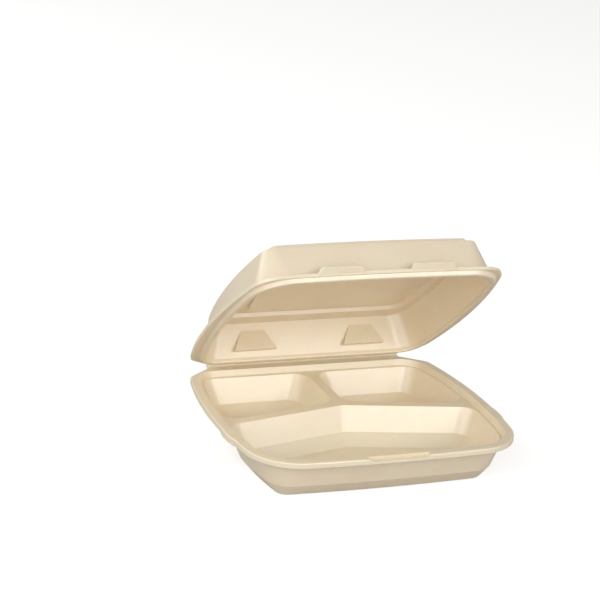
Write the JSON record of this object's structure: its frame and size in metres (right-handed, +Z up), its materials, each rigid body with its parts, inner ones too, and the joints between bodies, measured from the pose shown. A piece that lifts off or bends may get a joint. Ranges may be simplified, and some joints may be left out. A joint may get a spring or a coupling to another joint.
{
  "type": "foam clamshell container",
  "caption": "Foam takeaway box: a tray divided into compartments, with a hinged lid that folds over it and tongues on its front edge.",
  "frame": {"origin": "the middle of the half-open box seen from above, at the height of the tray's feet", "axes": "+Z up; the tray's open front faces -Y and the lid's fold line runs along X at the rear (+Y); the lid rests half open"},
  "size_m": [0.2358, 0.2127, 0.1816],
  "materials": {
    "foam": "satin expanded polystyrene foam, cream"
  },
  "bodies": {
    "tray": {"base_tray": "foam"},
    "lid": {"lid": "foam"}
  },
  "joints": [
    {"name": "lid_fold", "type": "hinge", "parent": "tray", "child": "lid", "pos_m": [0, 0.10156, 0.0377], "axis": [-1, 0, 0], "range_deg": [-40, 140]}
  ]
}
